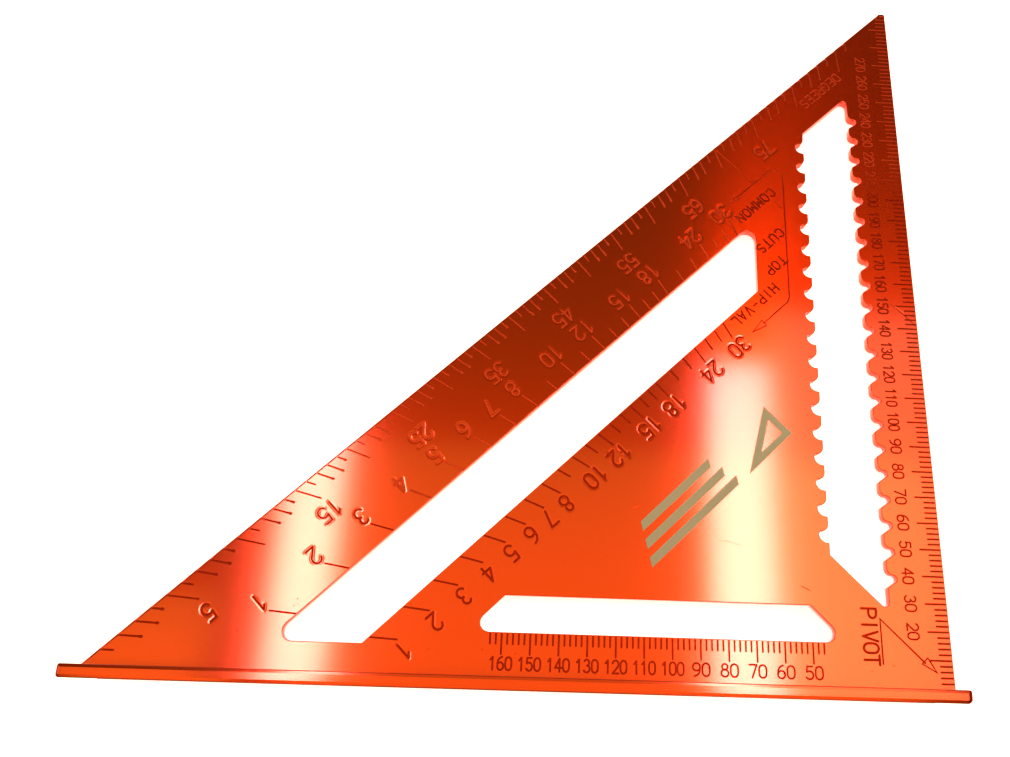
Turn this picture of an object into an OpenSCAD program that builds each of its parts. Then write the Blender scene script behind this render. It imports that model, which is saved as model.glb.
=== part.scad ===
// Rafter square: a flat triangular blade whose edge sits in a groove in a T-shaped fence.
// Millimetres. The origin is the pivot corner, where the fence's bearing face meets the blade's
// right edge, on the blade's upper face. +X runs right along the fence, +Y away from the fence
// across the blade, and +Z out of the upper face.

/* [Blade] */
// Length of each of the two equal legs
leg = 302; // [296:0.5:308]
// Thickness of the plate
blade_t = 3; // [2.5:0.1:4]
// Length that the sharp far corner is cut back, measured along the right edge
tip_cut = 2.6; // [1:0.1:4]
// Width of the tongue that sits in the fence's groove
tongue_w = 2; // [1:0.1:3]

/* [Fence] */
// Height of the fence above the upper face, and below the lower one
flange_h = 10; // [6:0.5:16]
// Thickness of the fence
fence_t = 4.5; // [3.5:0.1:6]
// Length that the fence runs on past the blade's left corner
fence_overrun = 1.2; // [0:0.1:3]
// Radius of the fence's outer corners, seen from above
fence_corner_r = 1.7; // [0.5:0.1:2]
// Width of the bevel along the fence's long edges
fence_bevel = 0.5; // [0.2:0.1:1]

/* [Gauge slot, along the right edge] */
// Distance from the right edge to the slot
gauge_x = 21.1; // [20.6:0.1:21.6]
// Width of the slot
gauge_w = 20.5; // [20:0.1:21]
// Height of the slot's lower end on the right edge
gauge_low = 5.2; // [4:0.1:6]
// Height of the slot's upper end on the right edge
gauge_high = 273.1; // [272:0.1:274]
// Pitch of the pencil notches down both sides
notch_pitch = 10; // [10:0.1:10.2]

/* [Rafter slot, along the long edge] */
// Height on the right edge of the line that carries the slot's outer side
rafter_outer = 250.8; // [248:0.1:252]
// Height on the right edge of the line that carries the slot's inner side
rafter_inner = 218.2; // [216:0.1:222]
// Height of the slot's lower end
rafter_low = 10; // [9:0.1:11]
// Distance from the right edge to the slot's upper end
rafter_right = 64; // [63:0.1:66]

/* [Rule slot, along the fence] */
// Height of the slot's lower side
rule_low = 15.2; // [14:0.1:16]
// Height of the slot's upper side
rule_high = 28.2; // [26:0.1:29]
// Distance from the right edge to the slot's lower right corner
rule_right = 37; // [36.5:0.1:40]
// Length of the slot's lower side
rule_len = 135.5; // [132:0.1:137]

/* [Stamped scales] */
// Width of a stamped line
line_w = 0.5; // [0.3:0.05:0.7]
// Depth of a stamped line
line_d = 0.2; // [0.1:0.05:0.4]
// Pitch of the two length scales
rule_pitch = 2; // [2:1:4]

/* [Printed mark] */
// Thickness of the print
print_t = 0.1; // [0.05:0.05:0.2]
// Height of the printed device
print_h = 15; // [10:1:16]
// Number of slanted bars in it
print_bars = 3; // [2:1:5]

/* [Hidden] */
eps = 0.01;
over = 1;

// Corner radii of the blade's tip, the three slots and the fence's inner side.
tip_r = 0.9;
tip_far_r = 0.4;
gauge_low_r = 1.6;
gauge_high_r = 1.8;
rafter_low_r = 3.5;
rafter_high_r = 3.6;
rafter_sharp_r = 0.5;
rule_low_r = 3.3;
rule_high_r = 0.6;
fence_inner_r = 0.7;

// Notch on the slot's left side: a round scoop, a tight seat, then a rounded shoulder.
scoop_r = 3.22;
scoop_seat_r = 1.15;
shoulder_r = 2.6;
shoulder_at = 6.95;
left_notch_start = 51.3;
left_notches = 18;
// Notch on the right side: a small lead-in, a round seat, then the same shoulder.
lead_r = 0.9;
seat_r = 1.35;
right_notch_start = 35.6;
right_notches = 21;

// Length scales: ends of their ranges, and the lengths of their lines.
number_step = 10;
edge_last = 298;
edge_long = 8;
edge_short = 4.7;
rule_first = 46;
rule_last = 164;
rule_long = 7.5;
rule_short = 4;
// Degree scale, read from the long edge about the pivot.
degrees_last = 86;
degree_long = 9.1;
degree_mid = 6.4;
degree_short = 3.7;
radial_line_w = 0.4;
// Roof scales: rise on a run of 12 for common rafters, and of 17 for hip and valley rafters.
common_run = 12;
hip_run = 17;
rises = [for (n = [1:18]) n, for (n = [20:2:30]) n];
long_rises = [1, 2, 3, 4, 5, 6, 7, 8, 10, 12, 15, 18, 24, 30];
rise_long = 7.4;
rise_short = 5.4;

// Printed device: its middle, lean, gaps and lengths, with the triangle's corners along it.
print_at = [-85.5, 72];
print_len = 76;
print_lean = 0.6;
print_gap = 2.7;
bar_len = 46;
bar_step = 5;
mark_start = 52;
mark_line = 2.8;

// ---------- outline helpers ----------

function arc(c, r, a0, a1, n = 6) =
    [for (i = [0:n]) let (a = a0 + (a1 - a0) * i / n) c + r * [cos(a), sin(a)]];

function unit(v) = v / norm(v);

// The arc of radius r that rounds corner b of the path a, b, c.
function fillet(a, b, c, r, n = 6) =
    let (
        u = unit(a - b),
        v = unit(c - b),
        half = acos(u * v) / 2,
        centre = b + unit(u + v) * r / sin(half),
        first = b + u * r / tan(half) - centre,
        turn = cross(b - a, c - b) > 0 ? 1 : -1,
        a0 = atan2(first.y, first.x)
    )
    arc(centre, r, a0, a0 + turn * (180 - 2 * half), n);

// A closed outline through [x, y, radius] corners.
function rounded(corners) =
    let (count = len(corners), xy = [for (c = corners) [c.x, c.y]])
    [for (i = [0:count - 1])
        each (corners[i][2] > 0
            ? fillet(xy[(i + count - 1) % count], xy[i], xy[(i + 1) % count], corners[i][2])
            : [xy[i]])];

function reversed(pts) = [for (i = [len(pts) - 1:-1:0]) pts[i]];

// Where a line that leaves the pivot at angle a from the fence meets the 45-degree line
// that reaches height k on the right edge.
function reach(a, k) = k / (cos(a) + sin(a));
function from_pivot(a, r) = [-r * cos(a), r * sin(a)];

// ---------- outlines ----------

// Both notch profiles are [depth into the metal, distance along the slot].
function left_notch() = concat(
    [[0, 0]],
    arc([0.38, scoop_r], scoop_r, -85, -10, 5),
    arc([2.45, 3.25], scoop_seat_r, 10, 85, 4),
    arc([shoulder_r, shoulder_at], shoulder_r, 267, 180, 5));

function right_notch() = concat(
    arc([lead_r, -0.55], lead_r, 180, 118, 3),
    arc([2.25, 3.1], seat_r, -70, 80, 6),
    arc([shoulder_r, shoulder_at], shoulder_r, 267, 180, 5));

function notched_side(x, out, start, count, profile) =
    [for (k = [0:count - 1]) each [for (p = profile)
        [x + out * p[0], start + k * notch_pitch + p[1]]]];

function blade_outline() = rounded([
    [-leg, -tongue_w, 0],
    [0, -tongue_w, 0],
    [0, leg - tip_cut, tip_r],
    [-tip_cut, leg - tip_cut, tip_far_r],
    [-leg, 0, 0]]);

function gauge_outline() =
    let (xr = -gauge_x, xl = -gauge_x - gauge_w)
    let (low_l = [xl, gauge_low - xl], low_r = [xr, gauge_low - xr])
    let (high_l = [xl, gauge_high + xl], high_r = [xr, gauge_high + xr])
    concat(
        fillet(low_l, low_r, high_r, gauge_low_r),
        notched_side(xr, 1, right_notch_start, right_notches, right_notch()),
        fillet(low_r, high_r, high_l, gauge_high_r),
        [high_l],
        reversed(notched_side(xl, -1, left_notch_start, left_notches, left_notch())),
        [low_l]);

function rafter_outline() = rounded([
    [rafter_low - rafter_outer, rafter_low, rafter_low_r],
    [rafter_low - rafter_inner, rafter_low, rafter_sharp_r],
    [-rafter_right, rafter_inner - rafter_right, rafter_sharp_r],
    [-rafter_right, rafter_outer - rafter_right, rafter_high_r]]);

function rule_outline() =
    let (h = rule_high - rule_low, xr = -rule_right, xl = -rule_right - rule_len)
    rounded([
        [xl, rule_low, rule_low_r],
        [xr, rule_low, rule_low_r],
        [xr - h, rule_high, rule_high_r],
        [xl + h, rule_high, rule_high_r]]);

// ---------- stamped lines ----------

// A groove in the upper face, from a towards b.
module stamped_line(a, b, w = line_w) {
    translate([a.x, a.y, -line_d])
        rotate(atan2(b.y - a.y, b.x - a.x))
            translate([0, -w / 2, 0]) cube([norm(b - a), w, line_d + over]);
}

// Radial lines between two 45-degree lines, outer and inner, about the pivot.
module radial_line(a, outer, inner) {
    stamped_line(from_pivot(a, reach(a, outer)), from_pivot(a, reach(a, inner)), radial_line_w);
}

module edge_scale() {
    for (y = [rule_pitch:rule_pitch:edge_last])
        stamped_line([eps, y], [y % number_step == 0 ? -edge_long : -edge_short, y]);
}

module rule_scale() {
    for (x = [rule_first:rule_pitch:rule_last])
        let (length = x % number_step == 0 ? rule_long : rule_short)
        stamped_line([-x, rule_low + eps], [-x, rule_low - length]);
}

module degree_scale() {
    for (n = [1:degrees_last]) {
        short = n % 5 == 1 || n % 5 == 4;
        depth = n % 5 == 0 ? degree_long : short ? degree_short : degree_mid;
        radial_line(n, leg + eps, leg - depth * sqrt(2));
    }
}

// Rises of a roof per run, stamped from the line at height start towards side.
module rise_scale(run, start, side) {
    for (n = rises) {
        depth = len(search(n, long_rises)) > 0 ? rise_long : rise_short;
        radial_line(atan(n / run), start - side * eps, start + side * depth * sqrt(2));
    }
}

// ---------- sub-parts ----------

module blade() {
    color("orangered") difference() {
        translate([0, 0, -blade_t]) linear_extrude(blade_t) difference() {
            polygon(blade_outline());
            polygon(gauge_outline());
            polygon(rafter_outline());
            polygon(rule_outline());
        }
        edge_scale();
        rule_scale();
        degree_scale();
        rise_scale(common_run, rafter_outer, 1);
        rise_scale(hip_run, rafter_inner, -1);
    }
}

// The fence in plan, with rounded ends.
module fence_plan() {
    left = -leg - fence_overrun;
    polygon(rounded([
        [left, -fence_t, fence_corner_r],
        [0, -fence_t, fence_corner_r],
        [0, 0, fence_inner_r],
        [left, 0, fence_inner_r]]));
}

// The fence's cross-section, as [y, z], with bevelled long edges and the groove for the blade.
module fence_section() {
    low = -blade_t - flange_h;
    b = fence_bevel;
    difference() {
        polygon([
            [-fence_t, low + b], [b - fence_t, low], [-b, low], [0, low + b],
            [0, flange_h - b], [-b, flange_h], [b - fence_t, flange_h], [-fence_t, flange_h - b]]);
        translate([-tongue_w, -blade_t]) square([tongue_w + over, blade_t]);
    }
}

module fence() {
    total = leg + fence_overrun;
    color("darkorange") intersection() {
        translate([0, 0, -blade_t - flange_h - over])
            linear_extrude(blade_t + 2 * (flange_h + over)) fence_plan();
        translate([-total - over, 0, 0])
            rotate([90, 0, 90]) linear_extrude(total + 2 * over) fence_section();
    }
}

// One slanted bar of the printed device, between two heights.
module print_bar(low, high, length) {
    polygon([
        [print_lean * low, low],
        [print_lean * low + length, low],
        [print_lean * high + length, high],
        [print_lean * high, high]]);
}

// A right triangle with its square corner at the lower right, moved in by an inset.
module print_triangle(inset) {
    w = print_len - mark_start;
    slope = print_h / w;
    far = inset * (1 + sqrt(1 + slope * slope)) / slope;
    polygon([
        [mark_start + far, inset],
        [print_len - inset, inset],
        [print_len - inset, inset + (w - far - inset) * slope]]);
}

// A plain printed device, square to the long edge: slanted bars and an outlined triangle.
module printed_mark() {
    bar_h = (print_h - print_gap * (print_bars - 1)) / print_bars;
    color("tan") translate(print_at) rotate(45) translate([-print_len / 2, -print_h / 2])
        linear_extrude(print_t) {
            for (i = [0:print_bars - 1])
                let (y = i * (bar_h + print_gap))
                print_bar(y, y + bar_h, bar_len - bar_step * i);
            difference() {
                print_triangle(0);
                print_triangle(mark_line);
            }
        }
}

blade();
fence();
printed_mark();
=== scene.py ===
"""A speed square: an orange anodised blade with stamped scales, its fence and a printed device.

Lengths here are millimetres, which MM turns into the scene's metres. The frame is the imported
model's: the pivot corner at the origin, +X along the fence, +Y across the blade, +Z up.
"""

import math

import bmesh
import bpy
import numpy as np
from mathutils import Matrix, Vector
from mathutils.geometry import delaunay_2d_cdt


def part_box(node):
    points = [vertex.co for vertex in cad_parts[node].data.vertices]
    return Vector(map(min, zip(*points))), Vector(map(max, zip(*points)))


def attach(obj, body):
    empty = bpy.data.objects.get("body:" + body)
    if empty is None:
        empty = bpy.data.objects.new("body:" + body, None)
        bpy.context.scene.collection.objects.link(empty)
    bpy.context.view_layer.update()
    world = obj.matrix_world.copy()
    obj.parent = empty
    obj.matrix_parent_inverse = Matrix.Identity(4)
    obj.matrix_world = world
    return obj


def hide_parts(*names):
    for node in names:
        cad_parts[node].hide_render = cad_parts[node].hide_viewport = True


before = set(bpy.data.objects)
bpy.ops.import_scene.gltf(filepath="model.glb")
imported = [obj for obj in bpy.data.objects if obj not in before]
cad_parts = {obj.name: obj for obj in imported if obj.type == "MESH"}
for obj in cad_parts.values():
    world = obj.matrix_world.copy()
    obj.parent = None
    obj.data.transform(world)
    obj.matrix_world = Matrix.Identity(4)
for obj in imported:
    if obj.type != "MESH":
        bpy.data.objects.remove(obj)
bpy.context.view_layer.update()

MM = 0.001
TINY = 1e-6  # closer than this, two places count as one
ROOT_HALF = math.sqrt(0.5)
OUTWARD = np.array((-ROOT_HALF, ROOT_HALF))  # square to the long edge, out of the blade
ALONG = np.array((-ROOT_HALF, -ROOT_HALF))   # along the long edge, towards the fence


# ---------- camera ----------

def make_camera():
    """Stands over the fence and looks down across the blade."""
    data = bpy.data.cameras.new("camera")
    data.lens = 26.41
    data.sensor_width = 36
    data.shift_x, data.shift_y = -0.0641, 0.1130
    data.clip_start, data.clip_end = 0.01, 20
    camera = bpy.data.objects.new("camera", data)
    camera.location = Vector((-146.1, -5.9, 263.6)) * MM
    camera.rotation_euler = [math.radians(a) for a in (15.335, -2.272, 1.613)]
    bpy.context.scene.collection.objects.link(camera)
    bpy.context.scene.camera = camera


# ---------- sizes read from the CAD model ----------

def lower_face_loops(node):
    """Closed outlines of a plate's lower face, in mm, each with the solid on its left."""
    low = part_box(node)[0].z
    bm = bmesh.new()
    bm.from_mesh(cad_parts[node].data)
    bmesh.ops.remove_doubles(bm, verts=bm.verts, dist=TINY)
    face_set = {f for f in bm.faces if all(abs(v.co.z - low) < TINY for v in f.verts)}
    following = {}
    for face in face_set:
        for corner in face.loops:
            if sum(f in face_set for f in corner.edge.link_faces) == 1:
                following[corner.link_loop_next.vert] = corner.vert
    loops = []
    while following:
        start, vert = next(iter(following.items()))
        loop = [start]
        del following[start]
        while vert is not start:
            loop.append(vert)
            vert = following.pop(vert)
        loops.append(np.array([v.co.xy[:] for v in loop]) / MM)
    bm.free()
    return loops


BLADE_LOW, BLADE_HIGH = (np.array(corner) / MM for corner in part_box("blade"))
FENCE_LOW, FENCE_HIGH = (np.array(corner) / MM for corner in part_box("fence"))
LEG = -BLADE_LOW[0]
THICK = -BLADE_LOW[2]

outlines = sorted(lower_face_loops("blade"), key=lambda loop: loop[:, 0].min())
RAFTER, RULE = outlines[1:3]
# Heights on the right edge of the 45-degree lines along the rafter slot's two long sides.
RAFTER_OUTER = (RAFTER[:, 1] - RAFTER[:, 0]).max()
RAFTER_INNER = (RAFTER[:, 1] - RAFTER[:, 0]).min()
RULE_LOW = RULE[:, 1].min()


# ---------- stroke lettering ----------

BOW_STEP = 30  # degrees from one point of a curved stroke to the next


def bow(x, y, rx, ry, start, end):
    """Points along part of an ellipse, in degrees from +x."""
    count = max(2, round(abs(end - start) / BOW_STEP))
    angles = [math.radians(start + (end - start) * i / count) for i in range(count + 1)]
    return [(x + rx * math.cos(a), y + ry * math.sin(a)) for a in angles]


def ring(x, y, rx, ry):
    """Points round a whole ellipse."""
    return bow(x, y, rx, ry, 0, 360)


# Strokes of each character, 1 high and GLYPH_W wide. A stroke that ends where it starts is closed.
GLYPH_W = 0.62
HALF = GLYPH_W / 2
GLYPHS = {
    "0": [bow(HALF, 0.69, HALF, 0.31, 0, 180) + bow(HALF, 0.31, HALF, 0.31, 180, 360)
          + [(GLYPH_W, 0.69)]],
    "1": [[(0.1, 0.76), (0.33, 1)], [(0.33, 1), (0.33, 0)]],
    "2": [bow(HALF, 0.7, HALF, 0.3, 165, -35) + [(0, 0)], [(0, 0), (GLYPH_W, 0)]],
    "3": [bow(0.29, 0.76, 0.26, 0.24, 150, -80), bow(0.29, 0.28, 0.31, 0.28, 80, -155)],
    "4": [[(0.46, 0), (0.46, 1)], [(0.46, 1), (0, 0.3)], [(0, 0.3), (0.64, 0.3)]],
    "5": [[(0.56, 1), (0.1, 1)], [(0.1, 1), (0.05, 0.55)],
          bow(0.29, 0.32, 0.32, 0.32, 135, -150)],
    "6": [ring(HALF, 0.3, HALF, 0.3), bow(0.5, 0.42, 0.5, 0.6, 175, 92)],
    "7": [[(0, 1), (GLYPH_W, 1)], [(GLYPH_W, 1), (0.22, 0)]],
    "8": [ring(HALF, 0.77, 0.24, 0.23), ring(HALF, 0.28, 0.31, 0.28)],
    "9": [ring(HALF, 0.7, HALF, 0.3), bow(0.12, 0.58, 0.5, 0.6, -5, -88)],
    "A": [[(0, 0), (HALF, 1)], [(HALF, 1), (GLYPH_W, 0)], [(0.12, 0.36), (0.5, 0.36)]],
    "C": [bow(HALF, 0.68, HALF, 0.32, 25, 180) + bow(HALF, 0.32, HALF, 0.32, 180, 335)],
    "D": [[(0, 0), (0, 1)], [(0, 1)] + bow(0.25, 0.62, 0.37, 0.38, 90, 0)
          + bow(0.25, 0.38, 0.37, 0.38, 0, -90) + [(0, 0)]],
    "E": [[(0, 0), (0, 1)], [(0, 1), (0.56, 1)], [(0, 0.52), (0.46, 0.52)], [(0, 0), (0.56, 0)]],
    "G": [bow(HALF, 0.68, HALF, 0.32, 25, 180) + bow(HALF, 0.32, HALF, 0.32, 180, 360),
          [(GLYPH_W, 0.32), (GLYPH_W, 0.46)], [(GLYPH_W, 0.46), (0.36, 0.46)]],
    "H": [[(0, 0), (0, 1)], [(GLYPH_W, 0), (GLYPH_W, 1)], [(0, 0.52), (GLYPH_W, 0.52)]],
    "I": [[(HALF, 0), (HALF, 1)]],
    "L": [[(0.04, 1), (0.04, 0)], [(0.04, 0), (0.56, 0)]],
    "M": [[(0, 0), (0, 1)], [(0, 1), (HALF, 0.35)], [(HALF, 0.35), (GLYPH_W, 1)],
          [(GLYPH_W, 1), (GLYPH_W, 0)]],
    "N": [[(0, 0), (0, 1)], [(0, 1), (GLYPH_W, 0)], [(GLYPH_W, 0), (GLYPH_W, 1)]],
    "O": [bow(HALF, 0.68, HALF, 0.32, 0, 180) + bow(HALF, 0.32, HALF, 0.32, 180, 360)
          + [(GLYPH_W, 0.68)]],
    "P": [[(0, 0), (0, 1)], [(0, 1)] + bow(0.33, 0.74, 0.29, 0.26, 90, -90) + [(0, 0.48)]],
    "R": [[(0, 0), (0, 1)], [(0, 1)] + bow(0.33, 0.74, 0.29, 0.26, 90, -90) + [(0, 0.48)],
          [(0.3, 0.48), (GLYPH_W, 0)]],
    "S": [bow(0.3, 0.76, 0.27, 0.24, 35, 255) + bow(0.3, 0.26, 0.31, 0.26, 80, -150)],
    "T": [[(0, 1), (GLYPH_W, 1)], [(HALF, 1), (HALF, 0)]],
    "U": [[(0, 1)] + bow(HALF, 0.32, HALF, 0.32, 180, 360) + [(GLYPH_W, 1)]],
    "V": [[(0, 1), (HALF, 0)], [(HALF, 0), (GLYPH_W, 1)]],
    "-": [[(0.1, 0.48), (0.5, 0.48)]],
}

# Every stamped stroke of the upper face: points, whether closed, half its width, and its depth.
strokes = []


def stamp(points, width, depth):
    """Adds one stroke to the stamping."""
    points = np.array(points, float)
    closed = bool(np.linalg.norm(points[0] - points[-1]) < TINY)
    if closed:
        points = points[:-1]
    strokes.append((points, closed, width / 2, depth))


def directions(degrees):
    """The unit vector at an angle from +x, and the one to its left."""
    a = math.radians(degrees)
    along = np.array((math.cos(a), math.sin(a)))
    return along, np.array((-along[1], along[0]))


def stamp_text(text, centre, height, direction, pitch, width, depth, squeeze=1):
    """Stamps text centred on a point, read along direction, in degrees from +x.

    The pitch is from one character to the next, and squeeze narrows each character.
    """
    along, up = directions(direction)
    first = np.array(centre, float) - along * pitch * (len(text) - 1) / 2 - up * height / 2
    for i, character in enumerate(text):
        corner = first + along * (pitch * i - HALF * height * squeeze)
        for points in GLYPHS[character]:
            stamp([corner + (along * x * squeeze + up * y) * height for x, y in points], width, depth)


# ---------- stamping ----------

TICK_D, TICK_W = 0.16, 0.62  # depth and width of a scale's lines
DEEP = 0.2                   # depth of the large numbers and most words
GUIDE_W = 0.45               # width of the arrow heads' and the bracket's lines
OVER = 1.5                   # how far a line runs past an edge, to be cut off by it
DOWN_EDGE, DOWN = 225, -90   # reading directions: down the long edge, and down the right edge

# The large numbers of the degree and rise scales, and the dish round each stroke of one.
NUMBER_HEIGHT, NUMBER_PITCH, NUMBER_W, NUMBER_SQUEEZE = 6.2, 4.5, 0.78, 0.88
DISH_D, DISH_W = 0.03, 2.0

# The millimetre scales' numbers: pitch as a share of the height, and squeeze.
SMALL_NUMBER_W = 0.6
TWO_DIGITS, THREE_DIGITS = (0.77, 0.95), (0.63, 0.78)


def from_pivot(angle, reach):
    """The point at a distance from the pivot, at an angle in degrees up from the fence."""
    a = math.radians(angle)
    return np.array((-math.cos(a), math.sin(a))) * reach


def meets(angle, height):
    """How far from the pivot a radial line meets the 45-degree line of a height on the right edge."""
    a = math.radians(angle)
    return height / (math.cos(a) + math.sin(a))


def stamp_radial(angle, near, far):
    """Stamps a radial line between two 45-degree lines, and returns its far end."""
    ends = [from_pivot(angle, meets(angle, h)) for h in (near, far)]
    stamp(ends, TICK_W, TICK_D)
    return ends[1]


def stamp_number(number, centre):
    """A large number, read down the long edge, in the shallow dish that its punch leaves."""
    for width, depth in ((DISH_W, DISH_D), (NUMBER_W, DEEP)):
        stamp_text(str(number), centre, NUMBER_HEIGHT, DOWN_EDGE, NUMBER_PITCH, width, depth, NUMBER_SQUEEZE)


def stamp_small_number(number, centre, height, direction):
    """A number of a millimetre scale: those with three digits are narrower and closer."""
    pitch, squeeze = THREE_DIGITS if number > 99 else TWO_DIGITS
    stamp_text(str(number), centre, height, direction, pitch * height, SMALL_NUMBER_W, TICK_D, squeeze)


def stamp_arrow(tip, direction, length, spread):
    """An outlined arrow head."""
    along, left = directions(direction)
    across = left * spread / 2
    tip = np.array(tip, float)
    back = tip - along * length
    stamp([tip, back + across, back - across, tip], GUIDE_W, TICK_D)


def stamp_edge_scale():
    """Millimetre scale up the right edge, with a number every 10 mm, read from the left."""
    last, step, long_tick, short_tick = 298, 2, 8, 4.7
    number_x, number_height = -13.4, 4.1
    for y in range(step, last + 1, step):
        stamp([(OVER, y), (-long_tick if y % 10 == 0 else -short_tick, y)], TICK_W, TICK_D)
    for y in range(20, 280, 10):
        stamp_small_number(y, (number_x, y), number_height, DOWN)


def stamp_rule_scale():
    """Millimetre scale below the rule slot, with upright numbers."""
    first, last, step, long_tick, short_tick = 46, 164, 2, 7.5, 4
    number_y, number_height = 4.5, 4.4
    for x in range(first, last + 1, step):
        length = long_tick if x % 10 == 0 else short_tick
        stamp([(-x, RULE_LOW + OVER), (-x, RULE_LOW - length)], TICK_W, TICK_D)
    for x in range(50, last + 1, 10):
        stamp_small_number(x, (-x, number_y), number_height, 0)


def stamp_degree_scale():
    """A line every degree along the long edge, aimed at the pivot, with numbers every 10 from 5."""
    lengths = {0: 9.1, 1: 3.7, 2: 6.4, 3: 6.4, 4: 3.7}  # by the degree's remainder after fives
    last, last_number = 86, 75
    knob_w = 1.0         # width of the round end that some lines have
    inwards = 6          # from a line's end to its number's centre, square to the long edge
    slide, most = 0.06, 2.8  # how far a number slides along the edge for each degree, and at most
    for n in range(1, last + 1):
        end = stamp_radial(n, LEG + OVER, LEG - lengths[n % 5] / ROOT_HALF)
        if n % 5 in (2, 3, 4):
            stamp([end, end * 1.002], knob_w, TICK_D)
        if n % 10 == 5 and n <= last_number:
            stamp_number(n, end - OUTWARD * inwards + ALONG * min(slide * n, most))
    stamp_text("DEGREES", (-32.5, 254.5), 4.2, DOWN_EDGE, 3.5, 0.6, TICK_D)


RISES = list(range(1, 19)) + list(range(20, 31, 2))
NUMBERED = (1, 2, 3, 4, 5, 6, 7, 8, 10, 12, 15, 18, 24, 30)
COMMON_RUN, HIP_RUN = 12, 17


def stamp_rise_scale(run, start, side):
    """Roof rises for a run, stamped outwards (side 1) or inwards (side -1) from a slot's long side."""
    long_tick, short_tick = 7.4, 5.4
    onwards = 4.5  # from a line's end to its number's centre, square to the slot
    for n in RISES:
        angle = math.degrees(math.atan(n / run))
        length = long_tick if n in NUMBERED else short_tick
        end = stamp_radial(angle, start - side * OVER, start + side * length / ROOT_HALF)
        if n in NUMBERED:
            stamp_number(n, end + OUTWARD * side * onwards + ALONG)


def stamp_guides():
    """The words, arrows and guide lines beside the scales."""
    word_height, word_pitch, word_w = 4, 3.7, 0.7
    for word, centre in (("COMMON", (-63.5, 194.2)), ("CUTS", (-58, 177.6)),
                         ("TOP", (-56.2, 166.2)), ("HIP-VAL", (-65.5, 147.7))):
        stamp_text(word, centre, word_height, DOWN_EDGE, word_pitch, word_w, DEEP)
    # A bracket beside the words, with an arrow at each end towards its scale.
    stamp([(-71, 197.9), (-58, 210.5), (-55, 212.2), (-52.6, 211.4), (-51.4, 208.5),
           (-51.4, 152), (-52.2, 149.6), (-54, 148), (-62, 140)], GUIDE_W, TICK_D)
    stamp_arrow((-74, 195), DOWN_EDGE, 4, 2.4)
    stamp_arrow((-67, 135.5), 222, 6.5, 3)
    # The fine line scribed at 45 degrees across the scales, which other stamping interrupts.
    scribed_w, scribed_d = 0.35, 0.06
    for ends in (((-79.5, 220.5), (-64.5, 205.5)), ((-55.5, 196.5), (-52.5, 193.5)),
                 ((-10, 151), (0, 141))):
        stamp(ends, scribed_w, scribed_d)
    # The word PIVOT, a line beside it that turns towards the pivot corner, and its arrow head.
    stamp_text("PIVOT", (-29.1, 17.8), 5.4, DOWN, 4.1, 0.85, DEEP)
    stamp([(-25.2, 8.3), (-25.2, 24.3), (-10, 9)], 0.6, TICK_D)
    stamp_arrow((-6, 5.7), -45, 5.8, 3)


def stamp_wear():
    """Small dents and scratches from use."""
    rng = np.random.default_rng(7)
    dent_d, scratch_w, scratch_d = 0.08, 0.22, 0.012
    dents, scratches = 16, 14
    marks = [((-251.5, 12.7), 0.5), ((-233, 22), 0.3), ((-232, 24.5), 0.35), ((-231.5, 22.5), 0.25)]
    marks += [((-rng.uniform(20, 285), rng.uniform(2, 9)), rng.uniform(0.2, 0.4)) for _ in range(dents)]
    for (x, y), size in marks:
        stamp([(x, y), (x + size * 0.4, y + size * 0.2)], size, dent_d)
    stamp([(-53, 35), (-50, 33.5)], 0.3, 0.04)
    for _ in range(scratches):
        x, y = -rng.uniform(45, 130), rng.uniform(32, 110)
        turn, length = rng.uniform(-0.3, 0.3), rng.uniform(2, 6)
        stamp([(x, y), (x + length * math.cos(turn), y + length * math.sin(turn))], scratch_w, scratch_d)


stamp_edge_scale()
stamp_rule_scale()
stamp_degree_scale()
stamp_rise_scale(COMMON_RUN, RAFTER_OUTER, 1)
stamp_rise_scale(HIP_RUN, RAFTER_INNER, -1)
stamp_guides()
stamp_wear()


# ---------- blade ----------

def left_of(vectors):
    """The vectors turned a quarter turn to their left."""
    return np.stack([-vectors[:, 1], vectors[:, 0]], axis=1)


def mitres(points, closed=True):
    """At each point, the vector that moves both its edges 1 mm to their left."""
    edges = np.roll(points, -1, axis=0) - points
    edges /= np.linalg.norm(edges, axis=1, keepdims=True)
    after = left_of(edges)
    before = np.roll(after, 1, axis=0)
    if not closed:
        before[0] = after[0]
        after[-1] = before[-1]
    return (before + after) / (1 + (before * after).sum(axis=1, keepdims=True))


def stroke_outlines(points, closed, offset):
    """Closed outlines at a distance from a stroke, with round ends on an open one."""
    across = mitres(points, closed) * offset
    left, right = points + across, points - across
    if closed:
        return [left, right]
    caps = []
    for end, side in ((points[-1], across[-1]), (points[0], -across[0])):
        turns = [math.radians(-a) for a in (45, 90, 135)]
        caps.append([end + (side[0] * math.cos(t) - side[1] * math.sin(t),
                            side[0] * math.sin(t) + side[1] * math.cos(t)) for t in turns])
    return [np.concatenate([left, caps[0], right[::-1], caps[1]])]


GROOVE_WALL = 0.48  # share of a stroke's half width that its sloping wall takes
SHALLOWEST = 0.002  # less depth than this is none


def groove_depth(places):
    """How deep the stamping is at each place: the deepest of the strokes that cover it.

    A stroke has sloping walls and a flat bottom.
    """
    depth = np.zeros(len(places))
    for points, closed, half, deepest in strokes:
        near = np.where(((places > points.min(0) - half) & (places < points.max(0) + half))
                        .all(axis=1))[0]
        ends = np.roll(points, -1, axis=0) if closed else points[1:]
        starts = points if closed else points[:-1]
        for a, b in zip(starts, ends):
            span = b - a
            t = np.clip((places[near] - a) @ span / (span @ span), 0, 1)
            gap = np.linalg.norm(places[near] - a - t[:, None] * span, axis=1)
            here = deepest * np.clip((1 - gap / half) / GROOVE_WALL, 0, 1)
            depth[near] = np.maximum(depth[near], here)
    return np.where(depth < SHALLOWEST, 0, depth)


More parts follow.
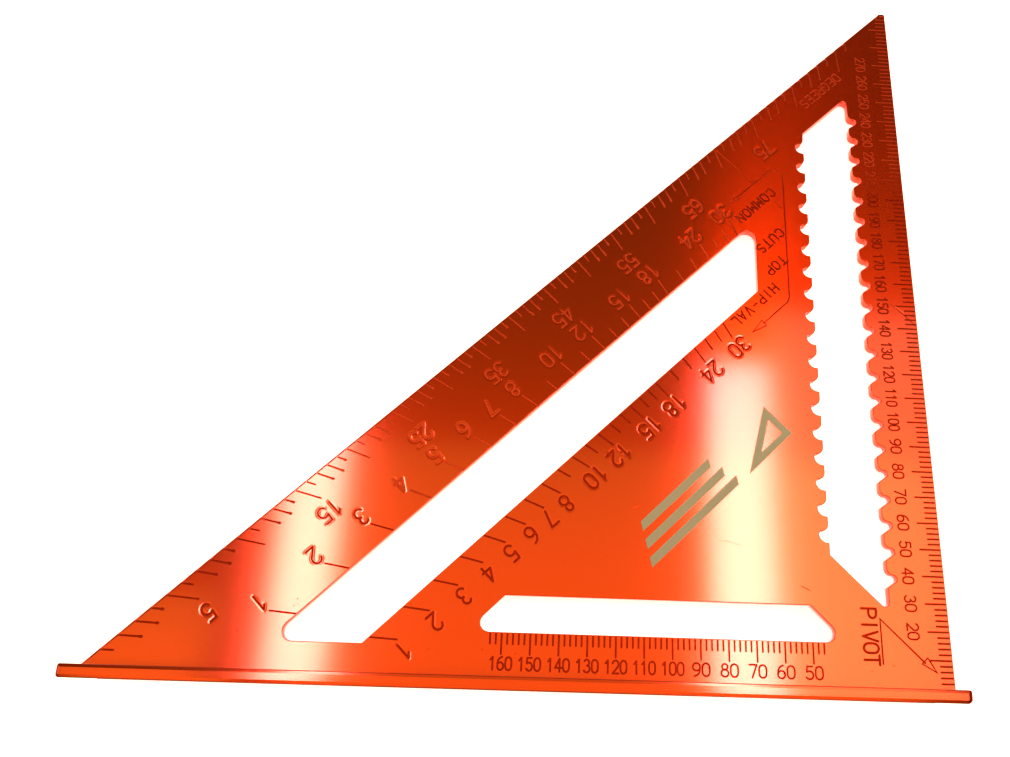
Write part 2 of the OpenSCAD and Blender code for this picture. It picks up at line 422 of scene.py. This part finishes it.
def inside(places, loops):
    """Whether each place is inside an odd number of the loops."""
    batch = 20000  # places handled at once, which keeps the arrays small
    odd = np.zeros(len(places), bool)
    for loop in loops:
        ends = np.roll(loop, -1, axis=0)
        climb = ends[:, 1] - loop[:, 1]
        slope = (ends[:, 0] - loop[:, 0]) / np.where(climb == 0, 1, climb)
        for first in range(0, len(places), batch):
            x, y = places[first:first + batch].T[:, :, None]
            passes = (loop[:, 1] > y) != (ends[:, 1] > y)
            crossing = passes & (x < loop[:, 0] + (y - loop[:, 1]) * slope)
            odd[first:first + batch] ^= crossing.sum(axis=1) % 2 == 1
    return odd


MERGE = 1e-4  # points of the upper face closer than this become one


def triangulate(loops, paths=()):
    """Triangles of the area inside loops, with an edge along each path: (points, triangles).

    Each path is a list of points and whether it is closed.
    """
    points, edges = [], []
    for path, closed in [(loop, True) for loop in loops] + list(paths):
        first, count = len(points), len(path)
        points += [Vector(p) for p in path]
        edges += [(first + i, first + (i + 1) % count) for i in range(count if closed else count - 1)]
    found = delaunay_2d_cdt(points, edges, [], 0, MERGE, False)
    places = np.array([p[:] for p in found[0]])
    triangles = np.array([t for t in found[2] if len(t) == 3])
    return places, triangles[inside(places[triangles].mean(axis=1), loops)]


def rim_loops(triangles):
    """Closed loops of vertex numbers round a set of triangles, with the area on their left."""
    sides = {(t[i], t[(i + 1) % 3]) for t in triangles.tolist() for i in range(3)}
    following = {a: b for a, b in sides if (b, a) not in sides}
    loops = []
    while following:
        start = next(iter(following))
        loop, vert = [start], following.pop(start)
        while vert != start:
            loop.append(vert)
            vert = following.pop(vert)
        loops.append(loop)
    return loops


EDGE_ROUND = 0.22  # rounding of the blade's edges
LONG_BEVEL = 0.7   # width of the wider bevel along the long edge
LONG_DROP = 0.4    # and how far down it reaches
ROUND_STEPS = (30, 60, 90)  # degrees round a rounded edge
ON_LINE = 0.02     # how near the long edge's line a point of it lies


def on_line(points, inset):
    """Which points lie on the long edge, moved inwards by an inset."""
    return np.abs(points[:, 1] - points[:, 0] - LEG + inset / ROOT_HALF) < ON_LINE


def make_blade():
    """The plate: an upper face cut by the stamping, rounded edges, walls and a lower face."""
    widths = [np.where(on_line(p, 0), LONG_BEVEL, EDGE_ROUND)[:, None] for p in outlines]
    loops = [p + mitres(p) * w for p, w in zip(outlines, widths)]
    paths = []
    for points, closed, half, _ in strokes:
        for share in (1, 1 - GROOVE_WALL):
            paths += [(outline, True) for outline in stroke_outlines(points, closed, half * share)]
        paths.append((points, closed))
    places, triangles = triangulate(loops, paths)
    depth = groove_depth(places)
    verts = [np.column_stack([places, -depth])]
    faces = triangles.tolist()
    count = len(places)
    lower_loops = []  # each lower edge's vertex numbers and places
    for rim in rim_loops(triangles):
        base = places[rim]
        out = -mitres(base)
        long_side = on_line(base, LONG_BEVEL)
        width = np.where(long_side, LONG_BEVEL, EDGE_ROUND)
        drop = np.where(long_side, LONG_DROP, EDGE_ROUND)
        rings = []  # how far out and how high each row of vertices down the wall is
        for angle in ROUND_STEPS:
            a = math.radians(angle)
            rings.append((width * math.sin(a), -np.maximum(drop * (1 - math.cos(a)), depth[rim])))
        for angle in (0,) + ROUND_STEPS:
            a = math.radians(angle)
            rings.append((width - EDGE_ROUND * (1 - math.cos(a)),
                          np.full(len(rim), EDGE_ROUND * (1 - math.sin(a)) - THICK)))
        previous = rim
        for shift, height in rings:
            current = list(range(count, count + len(rim)))
            verts.append(np.column_stack([base + out * shift[:, None], height]))
            count += len(rim)
            for i in range(len(rim)):
                j = (i + 1) % len(rim)
                faces.append((previous[j], previous[i], current[i], current[j]))
            previous = current
        lower_loops.append((previous, verts[-1][:, :2]))
    low_places, low_triangles = triangulate([points for _, points in lower_loops])
    low_rim = np.concatenate([points for _, points in lower_loops])
    low_numbers = np.concatenate([loop for loop, _ in lower_loops])
    mapped = [low_numbers[np.abs(low_rim - place).sum(axis=1).argmin()] for place in low_places]
    faces += [[mapped[v] for v in t[::-1]] for t in low_triangles]
    blade = mesh_object("blade_stamped", np.concatenate(verts), faces)
    # The upper face's triangles come first. Those in a groove take the second material.
    for face, stamped in zip(blade.data.polygons, depth[triangles].mean(axis=1) > DISH_D):
        face.material_index = int(stamped)
    return blade


FLAT = 0.9999     # a face whose normal's z is above this is left flat
SHARP_ANGLE = 38  # degrees between two faces that make their edge sharp


def mesh_object(name, points, faces):
    """An object from points in mm: faces square to Z are flat, the others smoothed."""
    points = np.array(points) * MM
    used = sorted({v for f in faces for v in f})
    number = dict(zip(used, range(len(used))))
    mesh = bpy.data.meshes.new(name)
    mesh.from_pydata([tuple(points[v]) for v in used], [], [[number[v] for v in f] for f in faces])
    mesh.validate()
    obj = bpy.data.objects.new(name, mesh)
    bpy.context.scene.collection.objects.link(obj)
    bm = bmesh.new()
    bm.from_mesh(mesh)
    for face in bm.faces:
        face.smooth = abs(face.normal.z) < FLAT
    for edge in bm.edges:
        edge.smooth = edge.calc_face_angle(0) < math.radians(SHARP_ANGLE)
    bm.to_mesh(mesh)
    bm.free()
    return obj


# ---------- fence ----------

FENCE_ROUND = 0.2  # radius of the long edges' arcs, and how far in from the box the walls are
CORNER_RADII = (1.1, 1.7, 0.7, 0.7)  # from above: outer left and right, inner right and left
CROWN = 0.02  # how much higher the middle of the fence's top is than its edges
# How far in from the fence's sides its top has come to within a share of that height.
CROWN_STEPS = ((1.1, 0.4), (1.8, 0))


def plan_outline(low, high, inset):
    """The fence from above, with round corners, moved in by an inset: low left corner first."""
    smallest, steps = 0.02, 6
    points = []
    corners = ((low[0], low[1], 1, 1, 180), (high[0], low[1], -1, 1, 270),
               (high[0], high[1], -1, -1, 0), (low[0], high[1], 1, -1, 90))
    for (x, y, sx, sy, start), radius in zip(corners, CORNER_RADII):
        left = max(radius - inset, smallest)
        for step in range(steps + 1):
            a = math.radians(start + 90 / steps * step)
            points.append((x + sx * (inset + left) + left * math.cos(a),
                           y + sy * (inset + left) + left * math.sin(a)))
    return points


def make_fence():
    """A bar with round corners, slightly crowned, with the blade's groove.

    The profile runs from the wall out over the arc to the box's side and then in to the middle,
    so it crosses itself within FENCE_ROUND of each long edge.
    """
    low, high = FENCE_LOW, FENCE_HIGH
    profile = []  # how far in, and how far below the top
    for angle in (0, 22.5, 45, 67.5, 90):
        a = math.radians(angle)
        profile.append((FENCE_ROUND * (1 - math.sin(a)), FENCE_ROUND * (1 - math.cos(a)) + CROWN))
    profile += [(inset, CROWN * share) for inset, share in CROWN_STEPS]
    levels = [(inset, low[2] + drop) for inset, drop in profile[::-1]]
    levels += [(inset, high[2] - drop) for inset, drop in profile]
    verts, faces = [], []
    for inset, z in levels:
        verts += [(x, y, z) for x, y in plan_outline(low, high, inset)]
    around = len(verts) // len(levels)
    for level in range(len(levels) - 1):
        for i in range(around):
            j = (i + 1) % around
            a, b = level * around, (level + 1) * around
            faces.append((a + i, a + j, b + j, b + i))
    faces.append(tuple(range(around))[::-1])
    faces.append(tuple(range(len(verts) - around, len(verts))))
    fence = mesh_object("fence_bar", verts, faces)
    cut_groove(fence)
    return fence


def cut_groove(fence):
    """Cuts the groove that the blade's tongue fills along the fence's inner face."""
    past = 1  # how far the cutter reaches out of the fence
    cutter_low = (FENCE_LOW[0] - past, BLADE_LOW[1], BLADE_LOW[2])
    cutter_high = (FENCE_HIGH[0] + past, past, 0)
    corners = [(x, y, z) for z in (cutter_low[2], cutter_high[2])
               for y in (cutter_low[1], cutter_high[1]) for x in (cutter_low[0], cutter_high[0])]
    sides = [(0, 2, 3, 1), (4, 5, 7, 6), (0, 1, 5, 4), (2, 6, 7, 3), (0, 4, 6, 2), (1, 3, 7, 5)]
    cutter = mesh_object("groove_cutter", corners, sides)
    cut = fence.modifiers.new("groove", "BOOLEAN")
    cut.operation, cut.solver, cut.object = "DIFFERENCE", "EXACT", cutter
    graph = bpy.context.evaluated_depsgraph_get()
    result = bpy.data.meshes.new_from_object(fence.evaluated_get(graph))
    fence.modifiers.clear()
    fence.data = result
    fence.data.materials.clear()
    bpy.data.objects.remove(cutter)


# ---------- materials ----------

class Nodes:
    """A short way to build a node tree for one material."""

    def __init__(self, name):
        self.material = bpy.data.materials.new(name)
        self.material.use_nodes = True
        self.tree = self.material.node_tree
        self.shader = self.tree.nodes["Principled BSDF"]
        self.place = self.tree.nodes.new("ShaderNodeTexCoord").outputs["Object"]

    def fill(self, socket, value):
        """Links a socket to value, or sets it to value if that is a number or a colour."""
        if isinstance(value, bpy.types.NodeSocket):
            self.tree.links.new(value, socket)
        else:
            socket.default_value = value

    def add(self, kind, inputs=None, **settings):
        """A new node with its settings and its inputs, which are given by name or number."""
        node = self.tree.nodes.new(kind)
        for key, value in settings.items():
            setattr(node, key, value)
        for key, value in (inputs or {}).items():
            self.fill(node.inputs[key], value)
        return node

    def set(self, **values):
        """Fills the shader's inputs, whose names have _ for each space."""
        for key, value in values.items():
            self.fill(self.shader.inputs[key.replace("_", " ")], value)

    def math(self, operation, a, b):
        return self.add("ShaderNodeMath", {0: a, 1: b}, operation=operation).outputs[0]

    def noise(self, scale, detail, stretch=(1, 1, 1)):
        """Noise over the object, with more of it along an axis where stretch is larger."""
        moved = self.add("ShaderNodeMapping", {"Vector": self.place, "Scale": stretch})
        return self.add("ShaderNodeTexNoise", {"Vector": moved.outputs[0], "Scale": scale,
                                               "Detail": detail}).outputs[0]

    def between(self, value, low, high):
        """value, from 0 to 1, stretched to run from low to high."""
        return self.add("ShaderNodeMapRange", {"Value": value, "To Min": low, "To Max": high}).outputs[0]

    def ramp(self, value, zero, one):
        """0 where value is at or past zero, 1 where it is at or past one."""
        return self.add("ShaderNodeMapRange", {"Value": value, "From Min": zero,
                                               "From Max": one}).outputs[0]

    def blend(self, factor, a, b):
        """A colour that is a where factor is 0 and b where it is 1."""
        return self.add("ShaderNodeMix", {"Factor": factor, "A": a, "B": b},
                        data_type="RGBA").outputs["Result"]


ORANGE_DYE, DEEP_ORANGE_DYE = (0.90, 0.054, 0.0004, 1), (0.86, 0.060, 0.0008, 1)
# Painted shade along the fence's top edges: near black on the outer edge, dark red on the inner one.
OUTER_EDGE_PAINTED_SHADE, INNER_EDGE_PAINTED_SHADE = (0.05, 0.01, 0.001, 1), (0.35, 0.012, 0.0005, 1)
EDGE_SHADE_REACH = 0.22 * MM    # how far from an edge of the fence its painted shade reaches
EDGE_SHADE_FULL = 0.7     # share of that within which it is at its full strength
BRUSHING = (25, 3500, 3500)         # stretch of the wider brush lines
FINE_BRUSHING = (60, 11000, 11000)  # and of the finer ones
BRUSH_HEIGHT = 0.0000014            # height of the brush lines, in metres


def anodised(name, edges=()):
    """Orange anodised aluminium, brushed along X before it was dyed, with painted shade along given edges.

    Each edge is a y and a z in metres and the colour of the painted shade there.
    """
    n = Nodes(name)
    lines = n.noise(1, 3, BRUSHING)
    fine = n.noise(1, 2, FINE_BRUSHING)
    colour = n.blend(n.noise(9, 3), ORANGE_DYE, DEEP_ORANGE_DYE)
    # Each edge line gets painted shade, blended from the orange towards its shade colour close to the line.
    for y, z, shade_colour in edges:
        edge = n.add("ShaderNodeCombineXYZ", {"Y": y, "Z": z}).outputs[0]
        flat = n.add("ShaderNodeVectorMath", {0: n.place, 1: (0, 1, 1)}, operation="MULTIPLY").outputs[0]
        gap = n.add("ShaderNodeVectorMath", {0: flat, 1: edge}, operation="DISTANCE").outputs["Value"]
        near = n.add("ShaderNodeMapRange", {"Value": gap, "From Min": EDGE_SHADE_REACH * EDGE_SHADE_FULL,
                                            "From Max": EDGE_SHADE_REACH, "To Min": 1.0, "To Max": 0.0})
        colour = n.blend(near.outputs[0], colour, shade_colour)
    across = n.add("ShaderNodeCombineXYZ", {"Y": 1.0}).outputs[0]
    bump = n.add("ShaderNodeBump", {"Height": n.math("ADD", lines, fine), "Distance": BRUSH_HEIGHT})
    n.set(Base_Color=colour, Metallic=0.97, Roughness=n.between(lines, 0.20, 0.24),
          Anisotropic=0.88, Tangent=across, Normal=bump.outputs[0],
          Coat_Weight=1.0, Coat_Roughness=0.12, Coat_IOR=1.86)
    return n.material


# Where a painted highlight makes the stamped metal lighter, in metres: the first number is where it starts
# to.
HIGHLIGHT_SLANT = (0.240, 0.246)  # y - x, which is largest at the long edge
HIGHLIGHT_LEFT = (-0.068, -0.076)  # x
HIGHLIGHT_ABOVE = (0.050, 0.075)  # y
HIGHLIGHT_TIP = (0.200, 0.218)    # y, from where the painted highlight covers any x


def stamped_metal():
    """The rough metal inside the stamping, darker than the plate, with a painted highlight near the tip and
    along the long edge's scales.
    """
    n = Nodes("stamped_metal")
    dirt = n.noise(400, 3)
    split = n.add("ShaderNodeSeparateXYZ", {0: n.place})
    x, y = split.outputs["X"], split.outputs["Y"]
    # light is the mask of the painted highlight: 1 near the tip and along the long edge's scales.
    slant = n.math("SUBTRACT", y, x)
    highlight_by_edge = n.math("MULTIPLY", n.ramp(slant, *HIGHLIGHT_SLANT), n.ramp(x, *HIGHLIGHT_LEFT))
    highlight_by_edge = n.math("MULTIPLY", highlight_by_edge, n.ramp(y, *HIGHLIGHT_ABOVE))
    light = n.math("MAXIMUM", highlight_by_edge, n.ramp(y, *HIGHLIGHT_TIP))
    dark_metal = n.blend(dirt, (0.50, 0.045, 0.006, 1), (0.34, 0.028, 0.004, 1))
    # The lighter, creamier colour is a painted highlight, blended in where light is 1.
    painted_highlight_metal = n.blend(dirt, (0.84, 0.150, 0.060, 1), (0.66, 0.100, 0.035, 1))
    n.set(Base_Color=n.blend(light, dark_metal, painted_highlight_metal), Metallic=0.9,
          Roughness=n.between(dirt, 0.4, 0.55))
    return n.material


def printed_ink():
    """Matt grey-tan ink with a fine grain."""
    n = Nodes("printed_ink")
    grain = n.noise(900, 3)
    n.set(Base_Color=n.blend(grain, (0.47, 0.41, 0.36, 1), (0.53, 0.47, 0.42, 1)),
          Roughness=n.between(grain, 0.5, 0.65))
    return n.material


def pale_floor():
    """A pale floor that is clear from below, so that the square's lower side can be seen."""
    n = Nodes("pale_floor")
    n.set(Base_Color=(0.9, 0.9, 0.9, 1), Roughness=0.9,
          Emission_Color=(1, 1, 1, 1), Emission_Strength=0.8)
    below = n.add("ShaderNodeNewGeometry").outputs["Backfacing"]
    clear = n.add("ShaderNodeBsdfTransparent").outputs[0]
    mix = n.add("ShaderNodeMixShader", {0: below, 1: n.shader.outputs[0], 2: clear})
    n.tree.links.new(mix.outputs[0], n.tree.nodes["Material Output"].inputs["Surface"])
    return n.material


# ---------- setting ----------

def make_floor():
    """The pale floor, just below the fence's lower edge and the blade's far tip, as it lies."""
    gap, reach = 0.05, 12000
    low = FENCE_LOW[2] - gap
    far_y, far_z = BLADE_HIGH[1], -THICK - gap
    slope = (far_z - low) / far_y
    corners = [(x, y, low + slope * y) for x, y in
               ((-reach, -reach), (reach, -reach), (reach, reach), (-reach, reach))]
    floor = mesh_object("floor", corners, [(0, 1, 2, 3)])
    floor.data.materials.append(pale_floor())


def soft_box(name, centre, size, radiance, colour, aim=None):
    """A rectangular light that faces down, or towards a point. Its places are in metres."""
    data = bpy.data.lights.new(name, "AREA")
    data.shape = "RECTANGLE"
    data.size, data.size_y = size
    data.energy = radiance * math.pi * size[0] * size[1]
    data.color = colour
    light = bpy.data.objects.new(name, data)
    light.location = centre
    if aim:
        light.rotation_euler = (Vector(aim) - Vector(centre)).to_track_quat("-Z", "Y").to_euler()
    bpy.context.scene.collection.objects.link(light)


def overhead(name, low, high, height, radiance, colour):
    """A soft box facing down, between a low and a high corner in x and y, in metres."""
    centre = ((low[0] + high[0]) / 2, (low[1] + high[1]) / 2, height)
    soft_box(name, centre, (high[0] - low[0], high[1] - low[1]), radiance, colour)


WHITE = (1, 0.98, 0.95)
ROSE = (1, 0.85, 0.96)
CREAM = (1, 0.92, 0.66)
WARM = (1, 0.79, 0.18)
AMBER = (1, 0.96, 0.10)


def make_lights():
    """Two bright strips that show as bands in the brushed metal, dim panels and two side lights.

    The camera sees each panel mirrored in its own part of the blade, which takes its tint.
    """
    strip_height, panel_height = 1.0, 1.1
    strip, dim = 9, 0.84
    overhead("right_strip", (0.144, -0.05), (0.259, 0.605), strip_height, strip, ROSE)
    overhead("left_strip", (-0.603, -0.05), (-0.502, 0.48), strip_height, strip, ROSE)
    overhead("right_panel", (0.262, -0.05), (0.62, 0.40), strip_height, 1.8, CREAM)
    overhead("upper_right_panel", (0.262, 0.40), (0.62, 0.72), strip_height, 1.5, CREAM)
    overhead("far_left_panel", (-1.05, -1.0), (-0.735, 0.16), panel_height, 1.1, WARM)
    overhead("low_panel", (-0.655, -1.0), (0.62, 0.46), panel_height, dim, WARM)
    side_size, side = (1.2, 0.8), 1.2
    soft_box("left_side", (-1.7, 0.2, 0.6), side_size, side, WHITE, aim=(-0.5, 0.2, 0))
    soft_box("right_side", (1.5, 0.2, 0.6), side_size, side, WHITE, aim=(0.2, 0.2, 0))


HORIZON = 0.18  # the surround is white up to this height, where 1 is straight up
SKY = ((0.45, 0.11), (0.68, 0.088), (0.8, 0.20), (0.9, 0.27))  # heights above it, and brightness
SKY_STRENGTH = 1.15
VIEW_GAMMA = 0.75


def make_world():
    """A surround that is white at the horizon, dim above it, and a little brighter overhead."""
    world = bpy.data.worlds.new("studio")
    world.use_nodes = True
    tree = world.node_tree
    place = tree.nodes.new("ShaderNodeTexCoord")
    split = tree.nodes.new("ShaderNodeSeparateXYZ")
    ramp = tree.nodes.new("ShaderNodeValToRGB")
    stops = ramp.color_ramp.elements
    stops.remove(stops[0])
    stops[0].position = 0
    stops[0].color = (1, 1, 1, 1)
    stops.new(HORIZON).color = (1, 1, 1, 1)
    for height, light in SKY:
        stops.new(height).color = tuple(light * c for c in AMBER) + (1,)
    tree.links.new(place.outputs["Generated"], split.inputs[0])
    tree.links.new(split.outputs["Z"], ramp.inputs[0])
    tree.links.new(ramp.outputs[0], tree.nodes["Background"].inputs["Color"])
    tree.nodes["Background"].inputs["Strength"].default_value = SKY_STRENGTH
    bpy.context.scene.world = world
    bpy.context.scene.view_settings.view_transform = "Standard"
    bpy.context.scene.view_settings.gamma = VIEW_GAMMA


# ---------- assembly ----------

def stand_for(piece, node, *metals):
    """Gives a piece its materials and puts it in the place of a CAD node."""
    for metal in metals:
        piece.data.materials.append(metal)
    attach(piece, "root")
    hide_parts(node)


make_camera()
stand_for(make_blade(), "blade", anodised("anodised_blade"), stamped_metal())
fence_low, fence_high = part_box("fence")
# The fence's outer and inner top edges, with the colours of their painted shade.
fence_shade_edges = [(fence_low.y, fence_high.z, OUTER_EDGE_PAINTED_SHADE), (fence_high.y, fence_high.z, INNER_EDGE_PAINTED_SHADE)]
stand_for(make_fence(), "fence", anodised("anodised_fence_edge_shade", fence_shade_edges))
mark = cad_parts["printed_mark"]
mark.data.materials.clear()
mark.data.materials.append(printed_ink())
make_floor()
make_lights()
make_world()
